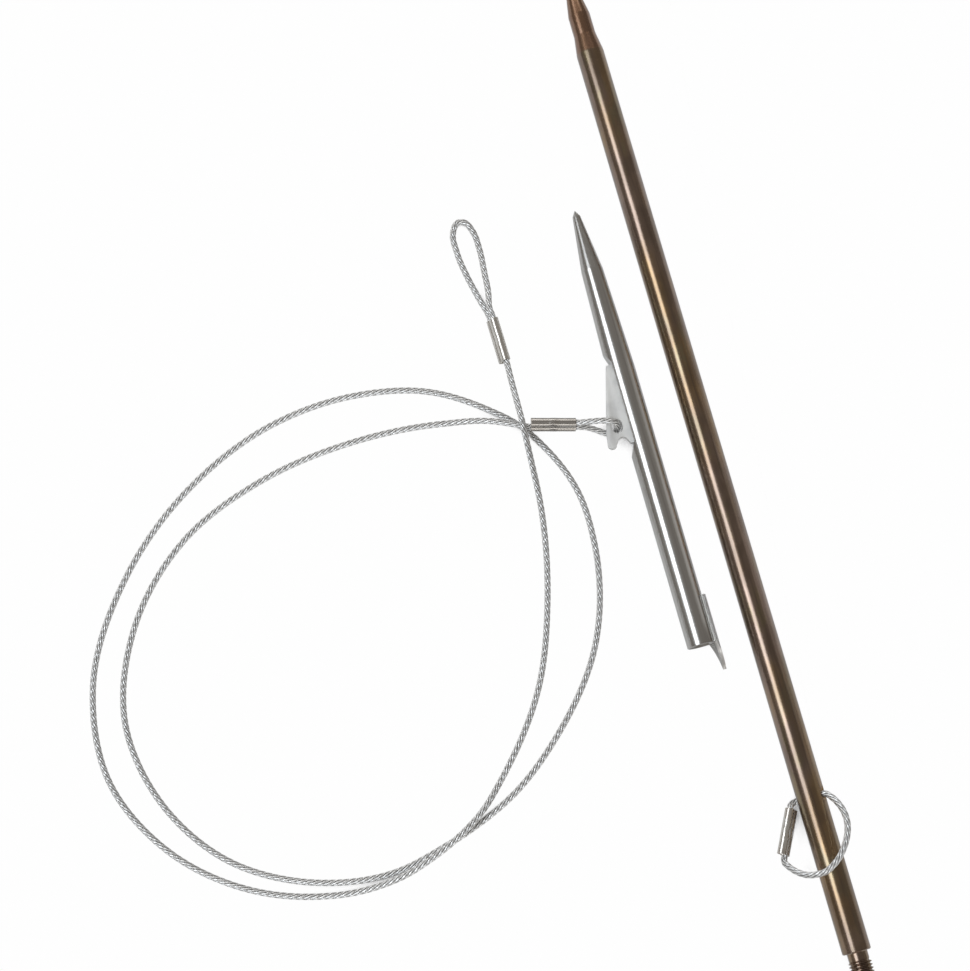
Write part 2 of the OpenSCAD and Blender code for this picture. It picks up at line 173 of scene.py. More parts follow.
# the two big turns: right and forward of the hole, height in strand levels over the surface
coil_route = [
    (-0.0265, 0.008, 1), (-0.0345, 0.0115, 0.8), (-0.0475, 0.0145, 0.1), (-0.0745, 0.016, 0),
    (-0.101, 0.012, 0), (-0.1255, 0.0015, 0), (-0.1445, -0.018, 0), (-0.154, -0.045, 0),
    (-0.1495, -0.0685, 0), (-0.136, -0.088, 0), (-0.1135, -0.1005, 0), (-0.0915, -0.1033, 0),
    (-0.0785, -0.1005, 0), (-0.0675, -0.097, 0), (-0.0555, -0.0915, 0), (-0.04, -0.0795, 0),
    (-0.0225, -0.0575, 0), (-0.015, -0.0305, 0), (-0.0155, -0.014, 0), (-0.022, 0.002, 0),
    (-0.026, 0.008, 0), (-0.0335, 0.015, 0), (-0.0485, 0.0245, 0), (-0.0695, 0.029, 0),
    (-0.0935, 0.027, 0), (-0.1205, 0.0155, 0), (-0.1435, -0.004, 0), (-0.16, -0.0315, 0),
    (-0.162, -0.059, 0), (-0.1505, -0.082, 0), (-0.13, -0.0985, 0), (-0.115, -0.104, 0),
    (-0.104, -0.1058, 0), (-0.0965, -0.1058, 0.3), (-0.09, -0.105, 0.7), (-0.0825, -0.1028, 1),
    (-0.0745, -0.0995, 1.1), (-0.066, -0.0945, 0.9), (-0.0575, -0.0865, 0), (-0.041, -0.065, 0),
    (-0.032, -0.042, 0), (-0.0265, -0.0145, 0.1), (-0.0258, 0, 1.3), (-0.0255, 0.0085, 2.2),
    (-0.0252, 0.021, 1.4),
]

# the end loop in front of its sleeve, in the same measures
eye_route = [
    (-0.0255, 0.0425, 1.1), (-0.0245, 0.048, 0.7), (-0.024, 0.054, 0.3), (-0.0235, 0.061, 0),
    (-0.024, 0.067, 0), (-0.0255, 0.07, 0), (-0.0275, 0.0705, 0), (-0.0295, 0.068, 0),
    (-0.03, 0.062, 0), (-0.029, 0.054, 0), (-0.0275, 0.047, 0.1),
]

# the wire ring in the cross hole's frame: side of the shaft, along the hole, towards the stud, off its plane
ring_route = [
    (-1, -0.0074, 0.0152, -0.0003), (-1, -0.0062, 0.0172, -0.0001), (-1, -0.0043, 0.0191, 0),
    (-1, -0.0019, 0.0206, 0), (0, -0.0026, 0.0213, 0), (0, 0, 0.0211, 0), (0, 0.0021, 0.0201, 0),
    (1, 0.0006, 0.0181, 0), (1, 0.0026, 0.0155, 0), (1, 0.0041, 0.0123, 0), (1, 0.0046, 0.0096, 0),
    (1, 0.0043, 0.0065, 0), (1, 0.0032, 0.0037, 0), (1, 0.0016, 0.0014, 0), (1, 0.0003, 0.0002, 0),
    (1, -0.001, 0, 0), (-1, 0.001, 0, 0), (-1, -0.0003, 0, 0.0001), (-1, -0.0012, 0.0004, 0.0007),
    (-1, -0.0017, 0.001, 0.0014),
]
ring_lean = math.asin((shaft_radius + rope_radius + 0.65 * mm) / (21.3 * mm))
ring_frame = (
    Matrix.Translation((0, ring_hole_at, 0))
    @ Matrix.Rotation(-ring_hole_tilt, 4, "Y")
    @ Matrix.Rotation(-ring_lean, 4, "X")
)


def bore_point(at, side, along):
    """Centre of a sleeve's bore, side 1 for the upper and -1 for the lower, some way along it."""
    heading, roll, k = math.radians(at[3]), math.radians(at[4]), side * bore_pitch / 2
    return Vector((
        at[0] + along * math.cos(heading) + k * math.sin(roll) * math.sin(heading),
        at[1] + along * math.sin(heading) - k * math.sin(roll) * math.cos(heading),
        at[2] + k * math.cos(roll),
    ))


def bore_way(at, sign):
    """Direction of a sleeve's bores, forward for 1 and back for -1."""
    heading = math.radians(at[3])
    return Vector((sign * math.cos(heading), sign * math.sin(heading), 0))


def way_at(p, i):
    """Direction of the smooth curve at an inner point; its slope in height never overshoots."""
    a, b = (p[i] - p[i - 1]).length, (p[i + 1] - p[i]).length
    w = ((p[i + 1] - p[i]) / b * a + (p[i] - p[i - 1]) / a * b) / (a + b)
    m1, m2 = (p[i].z - p[i - 1].z) / a, (p[i + 1].z - p[i].z) / b
    w.z = 0 if m1 * m2 <= 0 else 2 * m1 * m2 / (m1 + m2)
    return w


def stretch(points, first_way, last_way, step=1.0 * mm):
    """Smooth line through route points, with its first and last directions given."""
    last = len(points) - 1
    ways = [first_way] + [way_at(points, i) for i in range(1, last)] + [last_way]
    line = []
    for i in range(last):
        p0, p1, w0, w1 = points[i], points[i + 1], ways[i], ways[i + 1]
        span = (p1 - p0).length
        cuts = max(4, math.ceil(span / step))
        for j in range(cuts):
            s = j / cuts
            line.append(
                (2 * s**3 - 3 * s * s + 1) * p0 + (s**3 - 2 * s * s + s) * span * w0
                + (3 * s * s - 2 * s**3) * p1 + (s**3 - s * s) * span * w1
            )
    return line + [points[last]]


def lay_level(p):
    """A route point whose height is in strand levels over the surface."""
    return Vector((lay_x + p[0], lay_y + p[1], rest_height + p[2] * level))


def lay_plate(p):
    """A route point whose height is from the plate's middle."""
    return Vector((lay_x + p[0], lay_y + p[1], p[2]))


def ring_point(p):
    """A route point of the wire ring, in the cross hole's frame."""
    return Vector((p[0] * shaft_radius + p[1], -p[2], p[3]))


def lanyard_line():
    """Centre line of the lanyard, from its first end in the short loop's sleeve to its last in the eye's."""
    toggle = stretch(
        [bore_point(tip_sleeve_at, 1, -rope_leaves)] + [lay_plate(p) for p in toggle_route]
        + [bore_point(tip_sleeve_at, -1, -rope_leaves)],
        bore_way(tip_sleeve_at, -1), bore_way(tip_sleeve_at, 1))
    coil = stretch(
        [bore_point(tip_sleeve_at, -1, rope_leaves)] + [lay_level(p) for p in coil_route]
        + [bore_point(eye_sleeve_at, 1, -rope_leaves)],
        bore_way(tip_sleeve_at, 1), bore_way(eye_sleeve_at, 1))
    eye = stretch(
        [bore_point(eye_sleeve_at, 1, rope_leaves)] + [lay_level(p) for p in eye_route]
        + [bore_point(eye_sleeve_at, -1, rope_leaves)],
        bore_way(eye_sleeve_at, 1), bore_way(eye_sleeve_at, -1))
    first, last = bore_point(tip_sleeve_at, 1, rope_ends), bore_point(eye_sleeve_at, -1, -rope_ends)
    return [first] + toggle + coil + eye + [last]


def ring_line():
    """Centre line of the wire ring, with both ends in its sleeve."""
    loop = stretch(
        [bore_point(ring_sleeve_at, -1, rope_leaves)] + [ring_point(p) for p in ring_route]
        + [bore_point(ring_sleeve_at, 1, -rope_leaves)],
        bore_way(ring_sleeve_at, 1), bore_way(ring_sleeve_at, 1), 0.5 * mm)
    first, last = bore_point(ring_sleeve_at, -1, -rope_ends), bore_point(ring_sleeve_at, 1, rope_ends)
    return [ring_frame @ p for p in [first] + loop + [last]]


def evenly(line, step):
    """The same line with its points a step apart."""
    spans = [(b - a).length for a, b in zip(line, line[1:])]
    total = sum(spans)
    count = round(total / step)
    points, i, walked = [], 0, 0.0
    for n in range(count + 1):
        want = total * n / count
        while i < len(spans) - 1 and walked + spans[i] < want:
            walked += spans[i]
            i += 1
        points.append(line[i].lerp(line[i + 1], min(1, (want - walked) / spans[i])))
    return points


def follow(line):
    """Two directions square to the line at each of its points, carried along without twist."""
    side = None
    for i, p in enumerate(line):
        way = (line[min(i + 1, len(line) - 1)] - line[max(i - 1, 0)]).normalized()
        side = Vector((0.1, 0.2, 1)) if side is None else side
        side = (side - way * side.dot(way)).normalized()
        yield p, side, way.cross(side)


# Wire rope: six strands laid left-handed round a core strand

rope_lay = 11.7 * mm
strand_radius = rope_radius / 3


def strand_centres(line, number):
    """The line of one strand: numbers 0 to 5 wind round the rope's core and 6 is the core."""
    ring = 0 if number == 6 else rope_radius - strand_radius
    step = (line[1] - line[0]).length
    centres = []
    for i, (p, side, other) in enumerate(follow(line)):
        turn = math.tau * (number / 6 - i * step / rope_lay)
        outward = math.cos(turn) * side + math.sin(turn) * other
        centres.append((p + ring * outward, outward))
    return centres


def strand_tube(bm, uv, line, number, sides):
    """One strand's tube; its UV map has the turn round the strand and the metres along it."""
    centres = strand_centres(line, number)
    rings = []
    for i, (c, outward) in enumerate(centres):
        ahead = centres[min(i + 1, len(centres) - 1)][0] - centres[max(i - 1, 0)][0]
        across = ahead.normalized().cross(outward).normalized()
        rings.append([
            bm.verts.new(c + strand_radius * (
                math.cos(math.tau * k / sides) * outward + math.sin(math.tau * k / sides) * across))
            for k in range(sides)
        ])
    step = (line[1] - line[0]).length
    for i, (near, far) in enumerate(zip(rings, rings[1:])):
        for k in range(sides):
            n = (k + 1) % sides
            face = bm.faces.new((near[k], near[n], far[n], far[k]))
            for loop, (u, v) in zip(face.loops, ((k, i), (k + 1, i), (k + 1, i + 1), (k, i + 1))):
                loop[uv].uv = (u / sides, v * step)
    bm.faces.new(reversed(rings[0]))
    bm.faces.new(rings[-1])


def wire_rope(name, line):
    """The rope's piece and the points of its centre line."""
    steps_per_lay = 16
    points = evenly(line, rope_lay / steps_per_lay)
    bm = bmesh.new()
    uv = bm.loops.layers.uv.new("strand")
    for number in range(7):
        strand_tube(bm, uv, points, number, sides=8 if number < 6 else 5)
    return finished(name, bm, smooth_under=40), points


# Helpers for the made pieces


def smoothed(mesh, under):
    """Shades the mesh smooth, but for edges sharper than the given angle in degrees."""
    mesh.polygons.foreach_set("use_smooth", [True] * len(mesh.polygons))
    mesh.set_sharp_from_angle(angle=math.radians(under))
    return mesh


def finished(name, bm, smooth_under=30):
    """An object at the origin from a bmesh."""
    mesh = bpy.data.meshes.new(name)
    bm.to_mesh(mesh)
    bm.free()
    smoothed(mesh, smooth_under)
    piece = bpy.data.objects.new(name, mesh)
    bpy.context.scene.collection.objects.link(piece)
    return piece


def with_modifiers(piece, smooth_under=30):
    """Applies the piece's modifiers to its mesh."""
    bpy.context.view_layer.update()
    graph = bpy.context.evaluated_depsgraph_get()
    mesh = bpy.data.meshes.new_from_object(piece.evaluated_get(graph))
    piece.modifiers.clear()
    old = piece.data
    piece.data = smoothed(mesh, smooth_under)
    bpy.data.meshes.remove(old)
    mesh.name = piece.name
    return piece


def cut(piece, cutters, smooth_under=30):
    """Takes the cutters' shapes out of the piece."""
    for cutter in cutters:
        change = piece.modifiers.new("cut", "BOOLEAN")
        change.operation = "DIFFERENCE"
        change.solver = "EXACT"
        change.object = cutter
    with_modifiers(piece, smooth_under)
    for cutter in cutters:
        bpy.data.objects.remove(cutter)
    return piece


def soften(piece, width, segments, over_angle=28):
    """Breaks the piece's sharp edges with a small bevel."""
    change = piece.modifiers.new("soft edges", "BEVEL")
    change.width = width
    change.segments = segments
    change.limit_method = "ANGLE"
    change.angle_limit = math.radians(over_angle)
    change.miter_outer = "MITER_ARC"
    return with_modifiers(piece)


def turned(outline, segments):
    """A bmesh turned round the Y axis from (radius, place along Y) points."""
    bm = bmesh.new()
    line = [bm.verts.new((r, y, 0)) for r, y in outline]
    edges = [bm.edges.new(pair) for pair in zip(line, line[1:])]
    bmesh.ops.spin(bm, geom=line + edges, cent=(0, 0, 0), axis=(0, 1, 0), angle=math.tau,
                   steps=segments, use_merge=True, use_duplicate=False)
    bmesh.ops.remove_doubles(bm, verts=bm.verts, dist=1e-7)
    bmesh.ops.recalc_face_normals(bm, faces=bm.faces)
    return bm


def rod_cutter(name, radius, depth, place, segments):
    """A round cutter along its own Z, moved by the place matrix."""
    bm = bmesh.new()
    bmesh.ops.create_cone(bm, cap_ends=True, segments=segments, radius1=radius, radius2=radius, depth=depth)
    bmesh.ops.transform(bm, matrix=place, verts=bm.verts)
    return finished(name, bm)


def slab(name, outline, thickness, place):
    """A flat outline, thickened evenly to both sides, moved by the place matrix."""
    bm = bmesh.new()
    face = bm.faces.new([bm.verts.new((x, y, -thickness / 2)) for x, y in outline])
    made = bmesh.ops.extrude_face_region(bm, geom=[face])["geom"]
    lifted = [v for v in made if isinstance(v, bmesh.types.BMVert)]
    bmesh.ops.translate(bm, verts=lifted, vec=(0, 0, thickness))
    bmesh.ops.recalc_face_normals(bm, faces=bm.faces)
    bmesh.ops.transform(bm, matrix=place, verts=bm.verts)
    return finished(name, bm)


def eased(radius, place, above, below, before=0.15 * mm, after=0.1 * mm):
    """Two outline points that round a turned corner over a fraction of a millimetre."""
    return [(radius + above, place - before), (radius - below, place + after)]


def cut_off(bm, place, normal):
    """Takes away what lies past the plane."""
    bmesh.ops.bisect_plane(bm, geom=bm.verts[:] + bm.edges[:] + bm.faces[:], dist=1e-8,
                           plane_co=place, plane_no=normal, clear_outer=True)


def arc(centre, radius, start, end, steps):
    """Points of an arc from one angle to another, in degrees."""
    angles = [math.radians(start + (end - start) * i / steps) for i in range(steps + 1)]
    return [(centre[0] + radius * math.cos(a), centre[1] + radius * math.sin(a)) for a in angles]


# Shaft with its stud, cross hole and stepped nose


def make_shaft():
    """The rod from its relief neck to its blunt nose, with the countersunk cross hole."""
    chamfer = 0.3 * mm
    # edge loops that keep the long facets away from the cross hole
    hole_zone = [ring_hole_at + d * mm for d in (-4.5, -3, 3, 4.5)]
    outline = [
        (0, -neck_length - 0.2 * mm), (neck_radius - 0.15 * mm, -neck_length - 0.2 * mm),
        (neck_radius, -neck_length), (neck_radius, -0.15 * mm), (neck_radius + 0.15 * mm, 0),
        (shaft_radius - chamfer, 0), (shaft_radius - 0.05 * mm, 0.2 * mm), (shaft_radius, 0.4 * mm),
        *[(shaft_radius, y) for y in hole_zone],
        *eased(shaft_radius, cone_start, 0, 0.03 * mm),
        *eased(spigot_radius, spigot_start, 0.03 * mm, 0),
        *eased(spigot_radius, spigot_end, 0, 0.03 * mm, before=0.1 * mm),
        *eased(taper_end_radius, taper_end, 0.02 * mm, 0.02 * mm, before=0.1 * mm),
        (nose_flat_radius + nose_round / 2, nose_end - nose_round),
        (nose_flat_radius + 0.1 * mm, nose_end - 0.12 * mm),
        (nose_flat_radius - 0.1 * mm, nose_end), (0, nose_end),
    ]
    shaft = finished("shaft_rod", turned(outline, 144), 25)
    wide = ring_mouth_radius + cutter_over * (ring_mouth_radius - ring_hole_radius) / ring_mouth_depth
    rim, throat = shaft_radius + cutter_over, shaft_radius - ring_mouth_depth
    hole = turned([(0, -rim), (wide, -rim), (ring_hole_radius, -throat),
                   (ring_hole_radius, throat), (wide, rim), (0, rim)], 64)
    along_hole = (
        Matrix.Translation((0, ring_hole_at, 0))
        @ Matrix.Rotation(math.pi / 2 - ring_hole_tilt, 4, "Y")
        @ Matrix.Rotation(math.pi / 2, 4, "X")
    )
    bmesh.ops.transform(hole, matrix=along_hole, verts=hole.verts)
    return cut(shaft, [finished("hole_cutter", hole)], 25)


def make_stud():
    """The thread's one helical ridge, cut off square at both ends, on its core."""
    core = stud_radius - thread_depth
    # the ridge's foot lies a little inside the core, and it starts and runs out over these lengths
    foot = core - 0.05 * mm
    lead, run_out = 0.7 * mm, 0.45 * mm
    # the share of its height that it keeps at its ends, so that its faces stay open there
    least_height = 0.04
    end_gap = 0.02 * mm
    neck_ramp = 0.35 * mm
    flank = thread_depth * math.tan(math.radians(30))
    crest = thread_pitch / 5
    # the crests stand at the shaft's left rim where the photograph has them
    first_crest = -2.7 * mm
    start = first_crest - (thread_turns + 0.5) * thread_pitch
    profile = [(foot, -flank - crest / 2), (stud_radius, -crest / 2),
               (stud_radius, crest / 2), (foot, flank + crest / 2)]
    ridge = bmesh.new()
    line = [ridge.verts.new((r, start + y, 0)) for r, y in profile]
    edges = [ridge.edges.new((line[i], line[(i + 1) % 4])) for i in range(4)]
    steps = 56
    turns = thread_turns + 1
    bmesh.ops.spin(ridge, geom=line + edges, cent=(0, 0, 0), axis=(0, -1, 0),
                   dvec=(0, thread_pitch / steps, 0), angle=math.tau * turns, steps=steps * turns,
                   use_duplicate=False)
    for v in ridge.verts:
        r = math.hypot(v.co.x, v.co.z)
        ends = min((v.co.y - stud_end) / lead, (-neck_length - v.co.y) / run_out)
        most = foot + (stud_radius - foot) * max(least_height, min(1.0, ends))
        if r > most:
            v.co.x, v.co.z = v.co.x * most / r, v.co.z * most / r
    for y, way in ((stud_end + end_gap, -1), (-neck_length - end_gap, 1)):
        cut_off(ridge, (0, y, 0), (0, way, 0))
    bmesh.ops.holes_fill(ridge, edges=[e for e in ridge.edges if len(e.link_faces) == 1], sides=0)
    mesh = bpy.data.meshes.new("ridge")
    ridge.to_mesh(mesh)
    ridge.free()
    bm = turned([(0, stud_end), (core - lead / 2, stud_end), (core, stud_end + lead / 2),
                 (core, -neck_length - neck_ramp), (neck_radius - 0.05 * mm, -neck_length),
                 (0, -neck_length)], 72)
    bm.from_mesh(mesh)
    bpy.data.meshes.remove(mesh)
    bmesh.ops.recalc_face_normals(bm, faces=bm.faces)
    return finished("threaded_stud", bm, 25)


# Slip tip

tip_place = Matrix.Translation((-tip_beside, tip_mouth, 0))
pocket_place = tip_place @ Matrix.Translation((0, pocket_start, 0))


def make_tip_barrel():
    """The slip tip's body: socket, round barrel, turned point, and the pocket and slot on its left."""
    bevel = 0.2 * mm
    drill_point, mouth_depth = 2 * mm, 1.0 * mm
    # edge loops behind and before the pocket's zone
    pocket_zone = (8 * mm, 54 * mm)
    outline = [
        (0, socket_depth + drill_point), (socket_radius, socket_depth), (socket_radius, mouth_depth),
        (socket_mouth_radius, 0.03 * mm), (socket_mouth_radius + 0.05 * mm, 0),
        (tip_radius - bevel, 0), (tip_radius - 0.05 * mm, 0.1 * mm), (tip_radius, bevel + 0.05 * mm),
        *[(tip_radius, y) for y in pocket_zone],
        (tip_radius, tip_length - tip_point_length),
    ]
    # two gentle breaks in the point's slope
    for length, radius in ((tip_cone_length, tip_cone_radius), (tip_end_length, tip_end_radius)):
        outline += eased(radius, tip_length - length, 0.02 * mm, 0.02 * mm)
    outline += [(0.12 * mm, tip_length - 0.1 * mm), (0, tip_length)]
    bm = turned(outline, 128)
    bmesh.ops.transform(bm, matrix=tip_place, verts=bm.verts)
    barrel = finished("slip_tip_barrel", bm, 20)
    outside = tip_radius + cutter_over
    ramp = pocket_ramp * (outside - pocket_floor) / (tip_radius - pocket_floor)
    pocket = slab("pocket_cutter", [(-pocket_floor, 0), (-pocket_floor, pocket_length),
                                    (-outside, pocket_length + ramp), (-outside, -ramp)],
                  2 * outside, pocket_place)
    slot = slab("slot_cutter", [(-slot_floor, 0), (-slot_floor, pocket_length),
                                (-tip_radius, pocket_length), (-tip_radius, 0)],
                plate_thickness + slot_clearance, pocket_place)
    return cut(barrel, [pocket, slot], 20)


def make_tether_plate():
    """The flat plate with its lobe, its oblong hole and the notch with a deeper crown at its rear."""
    end_gap = 0.1 * mm
    front = pocket_length - end_gap
    front_corner, front_slope_end = (-3.9 * mm, front), (-4.5 * mm, front - 2.1 * mm)
    outer_corner = (0.5 * mm - plate_reach, 4.6 * mm)
    lobe_radius, lobe_end_angle = 1.25 * mm, 313.9
    lobe = (lobe_radius - plate_reach, 1.0 * mm)
    outline = [(-slot_floor, end_gap), (-slot_floor, front), front_corner, front_slope_end, outer_corner]
    outline += arc(lobe, lobe_radius, 180, lobe_end_angle, 16)
    plate = slab("tether_plate_cut", outline, plate_thickness, pocket_place)
    hole = [(-plate_hole_out + x, plate_hole_along + y) for x, y in
            arc((0, plate_hole_extra / 2), plate_hole_radius, 0, 180, 20)
            + arc((0, -plate_hole_extra / 2), plate_hole_radius, 180, 360, 20)]
    through = 3 * plate_thickness
    cutters = [slab("plate_hole_cutter", hole, through, pocket_place)]
    for centre, radius in ((notch_centre, notch_radius), (crown_centre, crown_radius)):
        at = pocket_place @ Matrix.Translation((*centre, 0))
        cutters.append(rod_cutter("notch_cutter", radius, through, at, segments=80))
    return soften(cut(plate, cutters), 0.12 * mm, 3)


def make_rear_barb():
    """A strip bent round the barrel's right side, cut to a point behind the mouth and thickened."""
    inner = tip_radius + braze_gap
    half_turn = math.radians(50)
    x, z = inner * math.cos(half_turn), -inner * math.sin(half_turn)
    rows = 44
    bm = bmesh.new()
    line = [bm.verts.new((x, -barb_point + (barb_seat + barb_point) * i / rows, z)) for i in range(rows + 1)]
    edges = [bm.edges.new(pair) for pair in zip(line, line[1:])]
    bmesh.ops.spin(bm, geom=line + edges, cent=(0, 0, 0), axis=(0, -1, 0), angle=2 * half_turn,
                   steps=40, use_duplicate=False)
    slope = Vector((0, -barb_half_width, barb_point)).normalized()
    upper, lower = (0, 0, barb_half_width), (0, 0, -barb_half_width)
    planes = [(upper, (0, 0, 1)), (lower, (0, 0, -1)),
              (upper, slope), (lower, (slope.x, slope.y, -slope.z))]
    for place, normal in planes:
        cut_off(bm, place, normal)
    bmesh.ops.recalc_face_normals(bm, faces=bm.faces)
    middle = max(bm.faces, key=lambda f: f.calc_center_median().x)
    if middle.normal.x < 0:
        bmesh.ops.reverse_faces(bm, faces=bm.faces)
    bmesh.ops.solidify(bm, geom=bm.faces, thickness=-barb_thickness)
    bmesh.ops.recalc_face_normals(bm, faces=bm.faces)
    bmesh.ops.transform(bm, matrix=tip_place @ Matrix.Rotation(barb_roll, 4, "Y"), verts=bm.verts)
    return soften(finished("rear_barb_strip", bm), 0.15 * mm, 3)


# Crimp sleeves


def make_sleeve(name, at, place=Matrix.Identity(4)):
    """Two joined barrels with a crimp pressed across their middle, and the rope's two bores."""
    waist = math.degrees(math.acos(web_half_width / barrel_radius))
    upper = arc((0, bore_pitch / 2), barrel_radius, -waist, 180 + waist, 26)
    lower = arc((0, -bore_pitch / 2), barrel_radius, 180 - waist, 360 + waist, 26)
    bm = bmesh.new()
    section = [bm.verts.new((-sleeve_length / 2, y, z)) for y, z in upper + lower]
    rim = [bm.edges.new((section[i], section[(i + 1) % len(section)])) for i in range(len(section))]
    # sections along the sleeve, closer together where the crimp is pressed
    outward = [x * mm for x in (0.3, 0.6, 0.85, 1.1, 1.35, 1.7, 2.2, 3.5, 5, 6.1)]
    stations = [-x for x in reversed(outward)] + [0] + outward + [sleeve_length / 2]
    bmesh.ops.contextual_create(bm, geom=rim)
    at_x = -sleeve_length / 2
    for x in stations:
        made = bmesh.ops.extrude_edge_only(bm, edges=rim)["geom"]
        moved = [v for v in made if isinstance(v, bmesh.types.BMVert)]
        rim = [e for e in made if isinstance(e, bmesh.types.BMEdge)]
        bmesh.ops.translate(bm, verts=moved, vec=(x - at_x, 0, 0))
        at_x = x
    bmesh.ops.contextual_create(bm, geom=rim)
    # a round tool's dent from both sides, of which a part comes out sideways
    pushed_out = 0.25
    for v in bm.verts:
        x = min(abs(v.co.x), crimp_tool_radius)
        dent = crimp_depth - crimp_tool_radius + math.sqrt(crimp_tool_radius**2 - x * x)
        if dent > 0:
            most = barrel_radius - dent
            v.co.y = max(-most, min(most, v.co.y))
            v.co.z *= 1 + pushed_out * dent / barrel_radius
    bmesh.ops.recalc_face_normals(bm, faces=bm.faces)
    sleeve = finished(name, bm)
    lying = Matrix.Rotation(math.pi / 2, 4, "Y")
    bores = [rod_cutter("bore_cutter", bore_radius, sleeve_length + 2 * cutter_over,
                        Matrix.Translation((0, 0, side * bore_pitch / 2)) @ lying, segments=40)
             for side in (-1, 1)]
    soften(cut(sleeve, bores), 0.07 * mm, 2, over_angle=50)
    heading, roll = math.radians(at[3]), math.radians(at[4])
    sleeve.data.transform(place @ Matrix.Translation(at[:3])
                          @ Matrix.Rotation(heading, 4, "Z") @ Matrix.Rotation(roll, 4, "X"))
    return sleeve


# All pieces, on their bodies

lanyard, lanyard_points = wire_rope("lanyard_rope", lanyard_line())
ring_rope, ring_points = wire_rope("ring_rope", ring_line())
tip_sleeve = make_sleeve("toggle_sleeve", tip_sleeve_at)
eye_sleeve = make_sleeve("end_eye_sleeve", eye_sleeve_at)
ring_sleeve = make_sleeve("wire_ring_sleeve", ring_sleeve_at, ring_frame)
shaft = make_shaft()
stud = make_stud()
barrel = make_tip_barrel()
plate = make_tether_plate()
barb = make_rear_barb()

places = [
    (shaft, "shaft", "shaft_steel", ["shaft"]),
    (stud, "shaft", "shaft_steel", ["shaft"]),
    (barrel, "slip_tip", "tip_steel", ["tip_barrel"]),
    (plate, "slip_tip", "plate_steel", ["tether_plate"]),
    (barb, "slip_tip", "tip_steel", ["rear_barb"]),
    (lanyard, "slip_tip", "wire_rope", ["lanyard_cable"]),
    (tip_sleeve, "slip_tip", "sleeve_steel", ["tip_sleeve"]),
    (eye_sleeve, "slip_tip", "sleeve_steel", ["eye_sleeve"]),
    (ring_rope, "ring", "wire_rope", ["ring_cable"]),
    (ring_sleeve, "ring", "sleeve_steel", ["ring_sleeve"]),
]
for piece, body, finish_slot, stands_for in places:
    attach(piece, body)
    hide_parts(*stands_for)


# Finishes


class Wire:
    """A node's output, on which sums and products add Math nodes."""

    def __init__(self, finish, socket):
        self.finish = finish
        self.socket = socket

    def math(self, operation, *others):
        return self.finish.node("ShaderNodeMath", {"operation": operation}, [self, *others])

    def __add__(self, other):
        return self.math("ADD", other)

    __radd__ = __add__

    def __mul__(self, other):
        return self.math("MULTIPLY", other)

    __rmul__ = __mul__

    def between(self, low, high):
        """0 at low, 1 at high, smooth in between."""
        return self.finish.node("ShaderNodeMapRange", {"interpolation_type": "SMOOTHSTEP"},
                                {"Value": self, "From Min": low, "From Max": high})


class Finish:
    """A material or a world as it is built, with one method that adds any node."""

    def __init__(self, owner, shader="Principled BSDF", output="Material Output"):
        owner.use_nodes = True
        self.owner = owner
        self.nodes = owner.node_tree.nodes
        self.links = owner.node_tree.links
        self.shader = self.nodes[shader]
        self.surface = self.nodes[output].inputs["Surface"]

    def feed(self, socket, value):
        """Links a wire to the socket or sets a number, a vector or an opaque colour on it."""
        if isinstance(value, Wire):
            self.links.new(value.socket, socket)
        else:
            socket.default_value = (*value, 1) if socket.type == "RGBA" else value

    def node(self, kind, settings=None, inputs=None, output=0):
        """Adds a node with its settings and inputs, and gives one of its outputs."""
        made = self.nodes.new(kind)
        for name, value in (settings or {}).items():
            setattr(made, name, value)
        named = inputs.items() if isinstance(inputs, dict) else enumerate(inputs or ())
        for name, value in named:
            self.feed(made.inputs[name], value)
        return Wire(self, made.outputs[output])

    def show(self, shown):
        """The camera sees the given shader and all other rays meet the finish's own."""
        seen = self.node("ShaderNodeLightPath")
        own = Wire(self, self.shader.outputs[0])
        either = self.node("ShaderNodeMixShader", {}, {0: seen, 1: own, 2: shown})
        self.links.new(either.socket, self.surface)

    def mix(self, factor, a, b):
        """Colour a where the factor is 0 and b where it is 1."""
        return self.node("ShaderNodeMix", {"data_type": "RGBA"}, {0: factor, 6: a, 7: b}, 2)

    def place(self, scale=(1, 1, 1), move=(0, 0, 0)):
        """Coordinates on the piece, scaled and moved."""
        where = self.node("ShaderNodeTexCoord", output="Object")
        return self.node("ShaderNodeMapping", {}, {"Vector": where, "Location": move, "Scale": scale})

    def part(self, vector, number):
        """One number of a vector: 0 for its X, 1 for its Y."""
        return self.node("ShaderNodeSeparateXYZ", {}, [vector], number)

    def noise(self, where, scale, detail, roughness):
        inputs = {"Vector": where, "Scale": scale, "Detail": detail, "Roughness": roughness}
        return self.node("ShaderNodeTexNoise", {}, inputs)

    def bump(self, height, strength, distance=0.03 * mm):
        inputs = {"Height": height, "Strength": strength, "Distance": distance}
        return self.node("ShaderNodeBump", {}, inputs)

    def grain(self, strength):
        """A bump of fine polishing lines along the piece."""
        return self.bump(self.noise(self.place((1, 0.012, 1)), 5200, 2, 0.5), strength)

    def set(self, **values):
        for name, value in values.items():
            self.feed(self.shader.inputs[name.replace("_", " ")], value)


